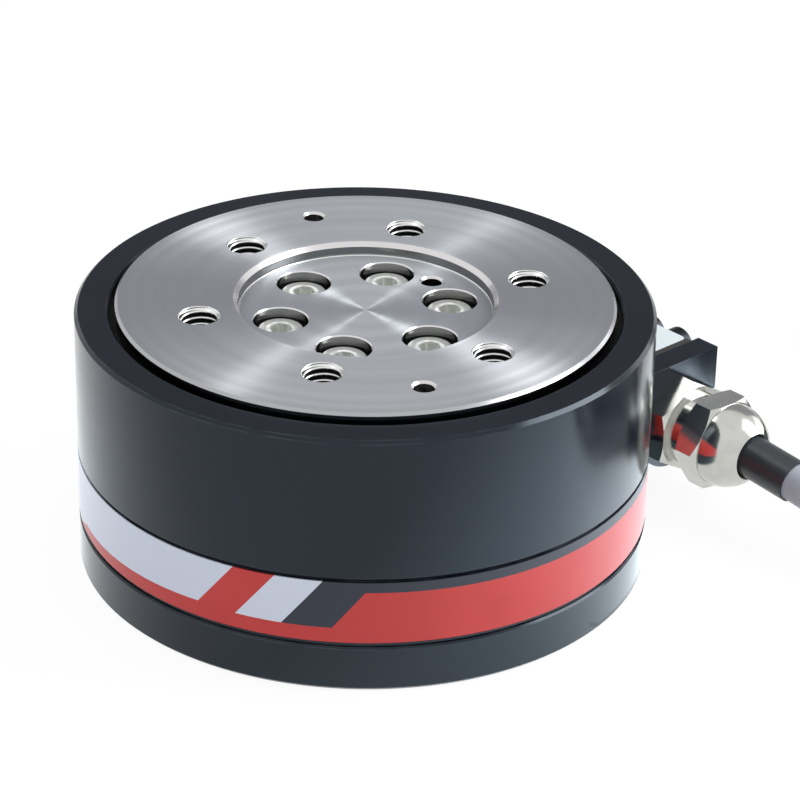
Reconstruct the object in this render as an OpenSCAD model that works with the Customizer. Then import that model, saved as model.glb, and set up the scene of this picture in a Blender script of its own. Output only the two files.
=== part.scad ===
// Force and torque sensor for a robot wrist.
// A steel tool plate is bolted to the hub of a cross-beam sensing element. A
// turned aluminium housing and base flange close it, and a cable gland on an
// outlet block at the side carries the lead. Millimetres, +Z towards the tool.

/* [Housing] */
// Outside diameter of the housing and base flange
body_d = 85; // [84:0.5:88]
// Wall thickness of the housing
wall = 5; // [4.6:0.1:5.4]
// Height of the housing rim above the robot face
rim_z = 39.7; // [39.3:0.1:42]
// Height of the joint between the base flange and the housing
joint_z = 7.4; // [6.8:0.1:8]
// Width of the shadow groove turned at that joint
joint_gap = 0.7; // [0.4:0.1:1]
// Depth of the shadow grooves
groove_depth = 0.5; // [0.3:0.1:0.8]
// Chamfer on the outer edges of the housing and flange
edge_chamfer = 0.5; // [0.2:0.1:0.8]

/* [Label] */
// Edge of the housing left between the joint groove and the label
label_edge = 0.15; // [0.1:0.05:0.4]
// Height of the label
label_h = 9.65; // [8:0.05:10]
// Thickness of the label film
label_t = 0.2; // [0.15:0.05:0.3]
// Width of the groove above the label
label_groove = 0.5; // [0.3:0.1:0.8]

/* [Tool plate] */
// Gap round the tool plate
plate_gap = 0.9; // [0.6:0.1:1.2]
// How far the tool plate stands above the housing rim
plate_rise = 1.1; // [0.6:0.1:1.6]
// Thickness of the tool plate at its edge
plate_t = 6; // [5.5:0.1:6.4]
// Thickness of the plate over its hub boss
boss_t = 11; // [10.6:0.1:11.4]
// Diameter of the hub boss under the plate
boss_d = 39; // [38:0.5:40]
// Diameter of the centring recess
recess_d = 37.5; // [37:0.1:38]
// Depth of the centring recess
recess_depth = 2.1; // [1.6:0.1:2.4]
// Chamfer round the edge of the recess
recess_chamfer = 0.65; // [0.4:0.05:0.8]
// Fillet round the floor of the recess
recess_fillet = 0.35; // [0.2:0.05:0.4]
// Chamfer round the plate
plate_chamfer = 0.4; // [0.2:0.1:0.5]

/* [Hole patterns] */
// Number of threaded holes, and of the screws inside them
hole_count = 6; // [6:1:6]
// Bolt circle of the threaded tool holes
tool_pcd = 50; // [49.5:0.1:50.5]
// Thread size of the tool and robot holes
thread_d = 6; // [5:0.5:6.5]
// Tapping diameter of those holes
tap_d = 5; // [4.2:0.1:5.2]
// Distance between the two tool dowel holes
dowel_pcd = 58.6; // [58:0.1:60]
// Diameter of the dowel holes in the tool plate
dowel_d = 3; // [2.5:0.1:3.5]
// Chamfer at the mouth of the small holes
mouth_chamfer = 0.35; // [0.2:0.05:0.5]
// Bolt circle of the hub screws in the recess
hub_pcd = 25.7; // [25:0.1:26.3]
// Distance of the hub dowel from the centre
hub_dowel_r = 14.1; // [13.8:0.1:14.3]
// Bolt circle of the threaded holes in the robot face
robot_pcd = 50; // [49.5:0.1:50.5]
// Diameter of the centring recess in the robot face
register_d = 31.5; // [31:0.1:32]
// Depth of that recess
register_depth = 3; // [2:0.1:3.5]
// Diameter of the robot dowel hole
robot_dowel_d = 6; // [5:0.5:6]

/* [Screws] */
// Thread of the hub and element cap screws
cap_d = 4; // [3.8:0.1:4]
// Head diameter of those screws
cap_head_d = 7; // [6.8:0.1:7]
// Head height of those screws
cap_head_h = 4; // [3.8:0.1:4]
// Counterbore diameter for those heads
cbore_d = 8; // [7.8:0.1:8]
// How deep the hub screw heads sit under the recess floor
head_sink = 1.4; // [1.2:0.1:1.7]
// Distance of the countersunk housing screws from the flange's edge
housing_inset = 3.1; // [2.9:0.1:3.3]
// Length of those screws
housing_screw_l = 20; // [16:1:22]
// Thread of the housing screws
small_d = 2.5; // [2.4:0.1:2.6]
// Head diameter of those screws
small_head_d = 4.5; // [4.3:0.1:4.6]
// Angle between the screw rows and the threaded holes
stagger = 30; // [25:1:35]
// Running clearance round screws and pins
fit_gap = 0.1; // [0.05:0.01:0.15]

/* [Sensing element] */
// Wall thickness of its rim
rim_wall = 7.6; // [7.2:0.1:8]
// Clearance between the rim and the housing
rim_gap = 0.3; // [0.2:0.1:0.5]
// Top of the rim under the tool plate
rim_top_z = 33.9; // [33.5:0.1:34.2]
// Diameter of the hub
hub_d = 35; // [34:0.5:36]
// Height of the beams
beam_h = 7; // [6:0.5:8]
// Width of the beams
beam_w = 6; // [5:0.5:7]
// Number of beams
beam_count = 3; // [3:1:4]
// Width of the flexure slots behind the beams
flexure_w = 1.6; // [1.2:0.1:2]
// Length of the flexure slots
flexure_l = 20; // [16:1:22]
// Diameter of the wiring bore through the hub
wire_bore_d = 9; // [8:0.5:10]

/* [Outlet] */
// Direction the outlet block faces, from the first threaded hole
outlet_angle = 26; // [22:1:30]
// Bottom of the outlet block
outlet_z = 0.6; // [0.4:0.1:1]
// Top of the outlet block
outlet_top_z = 19.9; // [19.6:0.1:20.4]
// Distance of its outer face beyond the gland axis
outlet_half = 7.4; // [7:0.1:7.8]
// Length of the block along the gland
outlet_l = 13.6; // [13:0.1:14.5]
// Thickness of the gland plate
gland_plate_t = 4.1; // [3.8:0.1:4.5]
// Thickness of its gasket
gasket_t = 1.1; // [0.8:0.1:1.4]
// How far the gland plate stands out past the block
plate_lip = 1.6; // [1.2:0.1:2]
// Distance of the block's back face past the sensor's centre line
outlet_back = 2; // [1.6:0.1:2.4]
// Spacing of the outlet screws along the block
outlet_pitch = 6; // [5.8:0.1:6.3]
// Distance of the outlet screws from the top and bottom of the block
outlet_inset = 3.1; // [3:0.1:3.3]
// Thread of the outlet screws
outlet_screw_d = 3; // [2.8:0.1:3]
// Head diameter of those screws
outlet_head_d = 5.5; // [5.2:0.1:5.6]
// Head height of those screws
outlet_head_h = 3; // [2.6:0.1:3.2]

/* [Cable gland] */
// Distance of the gland axis outside the housing
gland_stand = 7.8; // [7.6:0.1:8.2]
// Height of the gland axis
gland_z = 10.25; // [10:0.05:10.5]
// Width across flats of the gland
gland_af = 13.5; // [13:0.1:14]
// Thread diameter of the gland
gland_thread_d = 11.8; // [11.4:0.1:12]
// Length of the hexagon on the gland body
gland_hex_l = 3.95; // [3.6:0.05:4.4]
// Neck between the hexagon and the nut
gland_neck_l = 2.9; // [2.4:0.1:3.4]
// Length of the hexagon on the nut
nut_hex_l = 4.1; // [3.8:0.1:4.6]
// Radius of the nut's dome
dome_r = 6.7; // [6.5:0.1:6.7]
// Length of the dome beyond the hexagon
dome_l = 5.6; // [5.2:0.1:5.8]
// Diameter of the opening in the dome
dome_bore_d = 6.9; // [6.8:0.1:7.2]

/* [Cable] */
// Outside diameter of the cable
cable_d = 6; // [6:0.1:6]
// Outside diameter of the sleeve on it
sleeve_d = 6.6; // [6.4:0.1:6.7]
// Length of straight sleeve past its bend
sleeve_out = 7.8; // [7.8:0.1:7.8]
// Angle at which the sleeve droops
sleeve_droop = 5; // [5:1:5]
// Mean radius of the coil
coil_r = 34.5; // [34:0.5:36]
// Turns in each layer of the coil
layer_turns = 3.25; // [3:0.25:3.5]
// Layers of turns in the coil
coil_layers = 2; // [2:1:2]
// Thickness of the coil tie
tie_t = 0.6; // [0.4:0.1:0.8]

/* [Hidden] */

$fn = 96;
eps = 0.01;
body_r = body_d / 2;
bore_r = body_r - wall;
plate_r = bore_r - plate_gap;
housing_screw_r = body_r - housing_inset;
plate_z = rim_z + plate_rise;
recess_z = plate_z - recess_depth;
boss_z = plate_z - boss_t;
joint_low = joint_z - joint_gap / 2;
joint_high = joint_z + joint_gap / 2;
label_z = joint_high + label_edge;
label_top = label_z + label_h;
pitch_angle = 360 / hole_count;

// Base flange: the spigot that centres the housing and carries the element
spigot_h = 1.6;
spigot_r = bore_r - 0.05;
deck_z = joint_low + spigot_h;
seal_r = 0.4;
seal_z = joint_low + 0.75;
tap_depth = 6.4;
cap_cbore_depth = 4.6;
cap_seat_z = plate_z - recess_depth - head_sink - cap_head_h;
cap_grip = 8;
cap_tail = 7;

// Sensing element
element_r = bore_r - rim_gap;
element_in_r = element_r - rim_wall;
element_screw_r = element_r - rim_wall / 2;
beam_top_z = boss_z - 0.8;
beam_z = beam_top_z - beam_h;
hub_bottom_z = beam_z - 3;
flexure_r = element_in_r + 2.4;

// Circuit board
board_r = element_in_r - 2.6;
board_in_r = board_r / 3;
chip_r = (board_r + board_in_r) / 2;
board_t = 1.6;
spacer_h = 2.4;
board_z = deck_z + spacer_h;
spacer_r = chip_r + 3;
spacer_d = 4.5;
board_screw_d = 2;
board_tap = 3;

// Outlet: x runs outwards from the sensor axis, and -y along the gland
contact_r = body_r + 0.02;
gland_x = body_r + gland_stand;
outlet_reach = gland_x + outlet_half;
block_y = outlet_l - outlet_back;
gland_face = block_y + gasket_t + gland_plate_t;
plate_out = outlet_reach + plate_lip;
gland_cr = gland_af / 2 / cos(30);
cavity_z = outlet_z + 5.4;
cavity_top = outlet_top_z - 5.4;
cavity_in = body_r + 1;
cavity_out = outlet_reach - 3.4;
cavity_back = 4;
wire_y = 5;
wire_z = 12.8;
wire_hole_d = 5;
plate_in = 2 * gland_x - plate_out;
jacket_s = gland_plate_t + gasket_t + 3;
jacket_y = gland_face - jacket_s;
core_r = 0.42;
core_pitch = 0.9;
core_turn = 6;
core_z = board_z + board_t + 1.1;
header_x = board_r - 3;
header_l = 4.5;
header_w = 8;
outlet_screw_y = block_y - 3.6;
outlet_grip = 3.6;

// Gland, from the gland plate's face outwards
nut_s = gland_hex_l + gland_neck_l;
dome_s = nut_s + nut_hex_l;
mouth_s = dome_s + dome_l;
neck_end = nut_s + 6;
thread_in = gland_plate_t + gasket_t + 1.6;
ring_r_small = 0.4;
bend_s = mouth_s - 2;
bend_r = 30;

// Cable: its route, from the end of the sleeve to the coil
cable_r = cable_d / 2;
route = [
  [63.5, -15.5, 9.5], [65.7, -20.0, 8.9], [67.9, -24.4, 8.0], [70.1, -28.9, 6.7],
  [72.3, -33.4, 5.3], [74.5, -37.9, 4.2], [76.7, -42.4, 3.6]
];
coil_at = [123, -22];
coil_pitch = cable_d + 0.1;
coil_half = layer_turns * coil_pitch / 2;
coil_out = coil_r + coil_half + cable_r;
coil_in = coil_r - coil_half - cable_r;
coil_h = (coil_layers - 1) * coil_pitch + cable_d;
tie_angles = [140, 320];
tie_span = 14;

// The tail, from the coil to the back of the connector
tail = [
  [161.8, 10.5, 9.1], [158.3, 14.7, 8.6], [154.6, 18.6, 8.2], [150.6, 22.4, 7.9],
  [146.4, 26.3, 7.7], [141.9, 29.8, 7.7], [137.0, 32.0, 7.8]
];
plug_turn = 162;
plug_r = 7.5;
plug_l = 27;
plug_taper = 12;
ring_r = 7.8;
ring_l = 15;
ring_lap = 3;
insert_r = 4.4;
insert_l = 10;
pin_foot = 6;
pin_l = 8.2;
pin_r = 0.5;

// Directions of a swept tube's rings, by the points on each side
function heading(p, i) =
  let (a = p[max(0, i - 1)], b = p[min(len(p) - 1, i + 1)]) (b - a) / norm(b - a);
function beside(dir) = cross(dir, [0, 0, 1]) / norm(cross(dir, [0, 0, 1]));
function ring(at, dir, r, sides) =
  let (side = beside(dir), up = cross(side, dir))
  [for (k = [0:sides - 1])
    at + r * (cos(360 * (k + 0.5) / sides) * side + sin(360 * (k + 0.5) / sides) * up)];

// A tube along a list of points
module swept(points, r, sides = 8) {
  rings = [for (i = [0:len(points) - 1]) each ring(points[i], heading(points, i), r, sides)];
  last = len(points) - 1;
  polyhedron(
    points = rings,
    faces = concat(
      [[for (k = [0:sides - 1]) k]],
      [for (i = [0:last - 1], k = [0:sides - 1])
        each [
          [i * sides + k, (i + 1) * sides + k, (i + 1) * sides + (k + 1) % sides],
          [i * sides + k, (i + 1) * sides + (k + 1) % sides, i * sides + (k + 1) % sides]
        ]],
      [[for (k = [sides - 1:-1:0]) last * sides + k]]
    )
  );
}

module around(r, count = hole_count, from = 0) {
  for (k = [0:count - 1])
    rotate([0, 0, from + k * 360 / count]) translate([r, 0, 0]) children();
}

// A bore with a chamfered mouth at its top
module mouth(d, z, depth, chamfer) {
  translate([0, 0, z - depth]) cylinder(d = d, h = depth + 1);
  translate([0, 0, z - chamfer]) cylinder(d1 = d, d2 = d + 2 * chamfer + 2 * eps, h = chamfer + eps);
}

module at_outlet() {
  rotate([0, 0, outlet_angle]) children();
}

// Places a piece on the gland axis, s out from the gland plate's face
module on_gland(s = 0) {
  at_outlet() translate([gland_x, -gland_face - s, gland_z]) rotate([90, 0, 0]) children();
}

module hexagon(af, h, turn = 0) {
  rotate([0, 0, 30 + turn]) cylinder(r = af / 2 / cos(30), h = h, $fn = 6);
}

// Hexagon whose corners are turned back at one or both ends
module turned_hex(af, h, turn, low, high) {
  corner = af / 2 / cos(30);
  back = (corner - af / 2) * 0.9;
  intersection() {
    hexagon(af, h, turn);
    rotate_extrude()
      polygon([
        [0, 0], [low ? corner - back : corner + 1, 0], [corner + (low ? 0.02 : 1), low ? back * 0.6 : 0],
        [corner + (high ? 0.02 : 1), high ? h - back * 0.6 : h], [high ? corner - back : corner + 1, h], [0, h]
      ]);
  }
}

module cap_screw(d, head_d, head_h, grip, socket_af) {
  difference() {
    rotate_extrude()
      polygon([
        [0, -grip], [d / 2 - 0.3, -grip], [d / 2, -grip + 0.3], [d / 2, 0], [head_d / 2, 0],
        [head_d / 2, head_h - 0.35], [head_d / 2 - 0.35, head_h], [0, head_h]
      ]);
    translate([0, 0, head_h / 2]) hexagon(socket_af, head_h);
  }
}

module base_flange() {
  color("#1e1f22")
    difference() {
      rotate_extrude()
        polygon([
          [0, 0], [body_r - edge_chamfer, 0], [body_r, edge_chamfer],
          [body_r, joint_low - 0.25], [body_r - 0.25, joint_low], [spigot_r, joint_low],
          [spigot_r, deck_z - 0.2], [spigot_r - 0.2, deck_z], [0, deck_z]
        ]);
      translate([0, 0, -1]) cylinder(d = register_d, h = register_depth + 1);
      around(robot_pcd / 2) translate([0, 0, -1]) cylinder(d = tap_d, h = tap_depth + 1);
      rotate([0, 0, stagger]) translate([robot_pcd / 2, 0, -1]) cylinder(d = robot_dowel_d, h = tap_depth + 1);
      around(element_screw_r, from = stagger) {
        translate([0, 0, -1]) cylinder(d = cbore_d, h = cap_cbore_depth + 1);
        translate([0, 0, -1]) cylinder(d = cap_d + 4 * fit_gap, h = deck_z + 2);
      }
      around(housing_screw_r) {
        translate([0, 0, -1]) cylinder(d = small_d + 4 * fit_gap, h = deck_z + 2);
        translate([0, 0, -eps]) cylinder(d1 = small_head_d + 0.2, d2 = small_d, h = (small_head_d - small_d) / 2 + 0.1);
      }
      around(spacer_r, 3, stagger) translate([0, 0, deck_z - board_tap]) cylinder(d = board_screw_d + 2 * fit_gap, h = board_tap + 1);
      outlet_screw_places(false) cylinder(d = outlet_screw_d + 2 * fit_gap, h = outlet_grip + 0.4);
      o_ring_groove();
    }
}

// The groove in the spigot that the flange's seal lies in
module o_ring_groove() {
  rotate_extrude() translate([bore_r - 2 * seal_r - 0.04, seal_z - seal_r - 0.02]) square(2 * seal_r + 0.04);
}

module flange_o_ring() {
  color("#141414")
    rotate_extrude() translate([bore_r - seal_r - 0.02, seal_z]) circle(r = seal_r, $fn = 24);
}

module housing() {
  color("#1b1c20")
    difference() {
      rotate_extrude()
        polygon([
          [bore_r, joint_low], [body_r - groove_depth, joint_low], [body_r - groove_depth, joint_high],
          [body_r - label_edge + eps, joint_high], [body_r, label_z - eps],
          [body_r, label_z], [body_r - label_t, label_z], [body_r - label_t, label_top],
          [body_r - groove_depth, label_top], [body_r - groove_depth, label_top + label_groove],
          [body_r - 0.15, label_top + label_groove], [body_r, label_top + label_groove + 0.15],
          [body_r, rim_z - edge_chamfer], [body_r - edge_chamfer, rim_z],
          [bore_r + 0.3, rim_z], [bore_r, rim_z - 0.3]
        ]);
      around(housing_screw_r) translate([0, 0, joint_low - 1]) cylinder(d = small_d + 2 * fit_gap, h = housing_screw_l + 2 - joint_low);
      outlet_screw_places(true) cylinder(d = outlet_screw_d + 2 * fit_gap, h = outlet_grip + 0.4);
      wire_way();
    }
}

module label() {
  color("#c9403a")
    difference() {
      rotate_extrude() translate([body_r - label_t, label_z]) square([label_t, label_h]);
      wire_way();
      outlet_screw_places(true) cylinder(d = outlet_screw_d + 2 * fit_gap, h = outlet_grip + 0.4);
    }
}

// The passage from the outlet block to the inside of the sensor
module wire_way() {
  at_outlet() translate([element_in_r - 4, -wire_y, wire_z]) rotate([0, 90, 0])
    cylinder(d = wire_hole_d, h = body_r - element_in_r + 8);
}

module tool_plate() {
  color("#b9bcc2")
    difference() {
      rotate_extrude()
        polygon([
          [0, boss_z], [boss_d / 2 - 0.5, boss_z], [boss_d / 2, boss_z + 0.5],
          [boss_d / 2, plate_z - plate_t], [plate_r - 0.5, plate_z - plate_t], [plate_r, plate_z - plate_t + 0.5],
          [plate_r, plate_z - plate_chamfer], [plate_r - plate_chamfer, plate_z],
          [recess_d / 2 + recess_chamfer, plate_z], [recess_d / 2, plate_z - recess_chamfer],
          for (a = [0:30:90])
            [recess_d / 2 - recess_fillet * (1 - cos(a)), recess_z + recess_fillet * (1 - sin(a))],
          [0, recess_z]
        ]);
      around(tool_pcd / 2) mouth(tap_d, plate_z, plate_t + 1, (thread_d - tap_d) / 2 + 0.12);
      around(dowel_pcd / 2, 2, 90) mouth(dowel_d, plate_z, plate_t + 1, mouth_chamfer);
      around(hub_pcd / 2) {
        mouth(cbore_d, recess_z, recess_z - cap_seat_z, mouth_chamfer / 2);
        translate([0, 0, boss_z - 1]) cylinder(d = cap_d + 4 * fit_gap, h = boss_t);
      }
      rotate([0, 0, stagger]) translate([hub_dowel_r, 0, 0])
        mouth(dowel_d, recess_z, recess_z - boss_z + 1, mouth_chamfer);
    }
}

// Soft ring that closes the gap round the tool plate
module plate_seal() {
  color("#0e0e0f")
    rotate_extrude()
      polygon([
        [plate_r + 0.02, rim_z - 4], [bore_r - 0.02, rim_z - 4],
        [bore_r - 0.02, rim_z - 1.6], [plate_r + 0.45, rim_z - 2.4], [plate_r + 0.02, rim_z - 1.9]
      ]);
}

// Cross-beam element: the hub carries the tool plate, the rim stands on the
// flange, and each beam ends in a thin wall left by a flexure slot.
module sensing_element() {
  color("#a9adb3")
    difference() {
      union() {
        translate([0, 0, deck_z])
          difference() {
            cylinder(r = element_r, h = rim_top_z - deck_z);
            translate([0, 0, -1]) cylinder(r = element_in_r, h = rim_top_z - deck_z + 2);
          }
        translate([0, 0, hub_bottom_z]) cylinder(d = hub_d, h = boss_z - hub_bottom_z);
        for (k = [0:beam_count - 1])
          rotate([0, 0, k * 360 / beam_count]) translate([0, -beam_w / 2, beam_z])
            cube([element_in_r + 1, beam_w, beam_h]);
      }
      translate([0, 0, hub_bottom_z - 1]) cylinder(d = wire_bore_d, h = 40);
      for (k = [0:beam_count - 1])
        rotate([0, 0, k * 360 / beam_count]) translate([flexure_r, 0, rim_top_z - 16])
          flexure_slot();
      around(hub_pcd / 2) translate([0, 0, hub_bottom_z - 1]) cylinder(d = cap_d + 2 * fit_gap, h = 30);
      rotate([0, 0, stagger]) translate([hub_dowel_r, 0, boss_z - 5]) cylinder(d = dowel_d, h = 6);
      around(element_screw_r, from = stagger) translate([0, 0, deck_z - 1]) cylinder(d = cap_d + 2 * fit_gap, h = 11);
      wire_way();
    }
}

module flexure_slot() {
  linear_extrude(20) {
    square([flexure_w, flexure_l - flexure_w], center = true);
    for (side = [-1, 1]) translate([0, side * (flexure_l - flexure_w) / 2]) circle(d = flexure_w, $fn = 24);
  }
}

gauge = [4.6, 3.2, 0.2];
gauge_x = (hub_d / 2 + element_in_r) / 2;
module strain_gauges() {
  color("#c98a3a")
    for (k = [0:beam_count - 1])
      rotate([0, 0, k * 360 / beam_count]) {
        for (z = [beam_z - gauge[2], beam_z + beam_h])
          translate([gauge_x - gauge[0] / 2, -gauge[1] / 2, z]) cube(gauge);
        for (y = [-beam_w / 2 - gauge[2], beam_w / 2])
          translate([gauge_x - gauge[0] / 2, y, beam_z + (beam_h - gauge[1]) / 2])
            cube([gauge[0], gauge[2], gauge[1]]);
      }
}

module hub_screws() {
  color("#cfd2d6")
    around(hub_pcd / 2) translate([0, 0, cap_seat_z])
      cap_screw(cap_d, cap_head_d, cap_head_h, cap_seat_z - boss_z + cap_tail, 3);
}

module hub_dowel() {
  color("#9a9da2")
    rotate([0, 0, stagger]) translate([hub_dowel_r, 0, boss_z - 4.8])
      rotate_extrude()
        polygon([[0, 0], [dowel_d / 2 - 0.3, 0], [dowel_d / 2 - 0.01, 0.3], [dowel_d / 2 - 0.01, 9.2], [dowel_d / 2 - 0.4, 9.5], [0, 9.5]]);
}

module element_screws() {
  color("#2b2c2e")
    around(element_screw_r, from = stagger) translate([0, 0, cap_cbore_depth]) mirror([0, 0, 1])
      cap_screw(cap_d, cap_head_d, cap_head_h, deck_z - cap_cbore_depth + cap_grip, 3);
}

module housing_screws() {
  head_cone = (small_head_d - small_d) / 2;
  color("#2b2c2e")
    around(housing_screw_r) difference() {
      rotate_extrude()
        polygon([[0, 0.05], [small_head_d / 2, 0.05], [small_d / 2, 0.05 + head_cone], [small_d / 2, housing_screw_l], [0, housing_screw_l]]);
      hexagon(1.5, 1.1);
    }
}

module amplifier_board() {
  color("#2f6b4a")
    translate([0, 0, board_z])
      difference() {
        cylinder(r = board_r, h = board_t);
        translate([0, 0, -1]) cylinder(r = board_in_r, h = board_t + 2);
        around(spacer_r, 3, stagger) translate([0, 0, -1]) cylinder(d = board_screw_d + 2 * fit_gap, h = board_t + 2);
      }
}

module block(size) {
  translate([-size[0] / 2, -size[1] / 2, 0]) cube(size);
}

module board_chips() {
  color("#2a2a2c")
    translate([0, 0, board_z + board_t]) {
      around(chip_r, 3, stagger + 60) block([6, 6, 1]);
      around(chip_r - 3, 6, stagger / 2) block([2.4, 4, 0.9]);
      at_outlet() translate([header_x - header_l / 2, -wire_y, 0]) block([header_l, header_w, 2.2]);
    }
}

module board_spacers() {
  color("#c4a24e")
    around(spacer_r, 3, stagger) translate([0, 0, deck_z])
      difference() {
        cylinder(d = spacer_d, h = spacer_h);
        translate([0, 0, -1]) cylinder(d = board_screw_d + 2 * fit_gap, h = spacer_h + 2);
      }
}

module board_screws() {
  color("#cfd2d6")
    around(spacer_r, 3, stagger) translate([0, 0, board_z + board_t])
      cap_screw(board_screw_d, 3.8, 1.6, spacer_h + board_t + board_tap - 0.4, 1.5);
}

// The four outlet screws, seated on the block's outer face
module outlet_screw_places(upper) {
  z = upper ? outlet_top_z - outlet_inset : outlet_z + outlet_inset;
  at_outlet() for (y = [outlet_screw_y, outlet_screw_y - outlet_pitch])
    translate([sqrt(body_r * body_r - y * y) + 0.2, -y, z]) rotate([0, -90, 0]) children();
}

module outlet_block() {
  color("#c3c6ca")
    difference() {
      at_outlet() translate([0, -block_y, 0])
        difference() {
          translate([0, 0, outlet_z])
            linear_extrude(outlet_top_z - outlet_z)
              difference() {
                translate([body_r - 6, 0]) square([outlet_reach - body_r + 6, outlet_l]);
                for (y = [0, outlet_l]) translate([outlet_reach, y]) corner_cut(1, y > 0);
              }
          translate([cavity_in, -1, cavity_z])
            cube([cavity_out - cavity_in, outlet_l - cavity_back + 1, cavity_top - cavity_z]);
          translate([gland_x, -1, gland_z]) rotate([-90, 0, 0]) cylinder(d = gland_thread_d + 2 * fit_gap, h = 3);
        }
      wire_way();
      translate([0, 0, -1]) cylinder(r = contact_r, h = rim_z, $fn = 180);
      at_outlet() for (y = [outlet_screw_y, outlet_screw_y - outlet_pitch], z = [outlet_top_z - outlet_inset, outlet_z + outlet_inset])
        translate([outlet_reach + 1, -y, z]) rotate([0, -90, 0]) cylinder(d = outlet_screw_d + 4 * fit_gap, h = 24);
    }
}

// What rounding one upright corner takes off a rectangle
module corner_cut(r, far) {
  mirror([0, far ? 0 : 1]) translate([-r, -r])
    difference() {
      square(r + 1);
      circle(r = r, $fn = 32);
    }
}

module outlet_screws() {
  color("#4a4c50")
    at_outlet() for (y = [outlet_screw_y, outlet_screw_y - outlet_pitch], z = [outlet_top_z - outlet_inset, outlet_z + outlet_inset])
      translate([outlet_reach, -y, z]) rotate([0, 90, 0])
        cap_screw(outlet_screw_d, outlet_head_d, outlet_head_h, outlet_reach - sqrt(body_r * body_r - y * y) + outlet_grip - 0.2, 2.5);
}

// Outline of the gland plate: square at the top, round under the gland
module gland_outline(out, r) {
  hull() {
    translate([plate_in - gland_x, 0]) square([out - plate_in, outlet_top_z - gland_z]);
    circle(r = r);
  }
}

module gland_plate() {
  color("#1a1b1e")
    difference() {
      on_gland(-gland_plate_t) linear_extrude(gland_plate_t) gland_outline(plate_out, gland_cr + 0.3);
      on_gland(-gland_plate_t - 1) cylinder(d = gland_thread_d + 2 * fit_gap, h = gland_plate_t + 2);
      on_gland(-2 * ring_r_small - 0.05) cylinder(r = gland_thread_d / 2 + 2 * ring_r_small + 0.04, h = 2);
      translate([0, 0, -1]) cylinder(r = contact_r, h = rim_z, $fn = 180);
    }
}

module plate_gasket() {
  color("#111214")
    difference() {
      on_gland(-gland_plate_t - gasket_t) linear_extrude(gasket_t) gland_outline(outlet_reach, gland_cr + 0.1);
      on_gland(-gland_plate_t - gasket_t - 1) cylinder(d = gland_thread_d + 2 * fit_gap, h = gasket_t + 2);
      translate([0, 0, -1]) cylinder(r = contact_r, h = rim_z, $fn = 180);
    }
}

module gland_body() {
  color("#b8b6ac")
    difference() {
      union() {
        on_gland(-thread_in) cylinder(d = gland_thread_d, h = thread_in + eps);
        on_gland(0) turned_hex(gland_af, gland_hex_l, 0, false, true);
        on_gland(0) cylinder(d = gland_thread_d, h = neck_end);
      }
      on_gland(-20) cylinder(d = cable_d + 1, h = 60);
      on_gland(nut_s - 1) cylinder(d = 9.8, h = 12);
    }
}

module gland_o_ring() {
  color("#101010")
    on_gland(-ring_r_small - 0.02) rotate_extrude() translate([gland_thread_d / 2 + ring_r_small + 0.02, 0])
      circle(r = ring_r_small, $fn = 24);
}

module gland_clamp() {
  color("#d9d7cf")
    difference() {
      on_gland(nut_s - 0.9) cylinder(d = 9.7, h = 6.6);
      on_gland(nut_s - 2) cylinder(d = 8.1, h = 12);
      for (k = [0:5]) on_gland(nut_s + 2.2) rotate([0, 0, 60 * k]) translate([3.6, -0.4, 0]) cube([2, 0.8, 8]);
    }
}

module gland_seal() {
  color("#151515")
    difference() {
      on_gland(nut_s - 0.9) cylinder(d = 8, h = 7.4);
      on_gland(nut_s - 2) cylinder(d = sleeve_d + 0.04, h = 12);
    }
}

module gland_nut() {
  hollow_end = dome_s + 3.2;
  color("#bdbbb1")
    difference() {
      union() {
        on_gland(nut_s) turned_hex(gland_af, nut_hex_l, 28, true, true);
        on_gland(dome_s - 0.6) rotate_extrude()
          intersection() {
            translate([0, 0.6]) circle(r = dome_r, $fn = 128);
            square([dome_r, dome_l + 0.6]);
          }
      }
      on_gland(nut_s - 1) cylinder(d = gland_thread_d + 2 * fit_gap, h = 7.2);
      on_gland(nut_s + 6.2 - eps) cylinder(d1 = gland_thread_d - 1, d2 = dome_bore_d, h = hollow_end - nut_s - 6.2 + 2 * eps);
      on_gland(nut_s) cylinder(d = dome_bore_d, h = 30);
      on_gland(mouth_s - 0.35) cylinder(d1 = dome_bore_d, d2 = dome_bore_d + 0.8, h = 0.36);
    }
}

// The sleeve's centre line: straight in the gland, a bend, then drooping
module on_bend() {
  on_gland(bend_s) translate([0, -bend_r * (1 - cos(sleeve_droop)), bend_r * sin(sleeve_droop)])
    rotate([sleeve_droop, 0, 0]) children();
}

// A round bar on that line, from back behind the bend to out past it
module bent_bar(r, back, out) {
  on_gland(bend_s - back) cylinder(r = r, h = back);
  on_gland(bend_s) translate([0, -bend_r, 0]) rotate([90, 0, 90])
    rotate_extrude(angle = sleeve_droop) translate([bend_r, 0]) circle(r = r);
  on_bend() cylinder(r = r, h = out);
}

module cable_sleeve() {
  color("#202124")
    difference() {
      bent_bar(sleeve_d / 2, 8, sleeve_out);
      bent_bar(cable_r + 0.02, 9, sleeve_out + 1);
    }
}

// The cable inside the gland and its sleeve
module inner_lead() {
  color("#8f9094") bent_bar(cable_r, bend_s + jacket_s, sleeve_out);
}

// The cable's cores: round the corner in the block, then in to the board
core_route = concat(
  [for (t = [0:15:90]) [
    gland_x - core_turn * (1 - cos(t)),
    -jacket_y + (jacket_y - wire_y) * sin(t),
    gland_z + (core_z - gland_z) * (1 - cos(t))
  ]],
  [[header_x, -wire_y, core_z]]
);
module signal_cores() {
  color("#c8b04a")
    at_outlet() for (k = [-1.5:1:1.5])
      swept([for (i = [0:len(core_route) - 1])
        core_route[i] + k * core_pitch * beside(heading(core_route, i))], core_r);
}

module cable_lead() {
  color("#8f9094") swept(route, cable_r);
}

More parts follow.
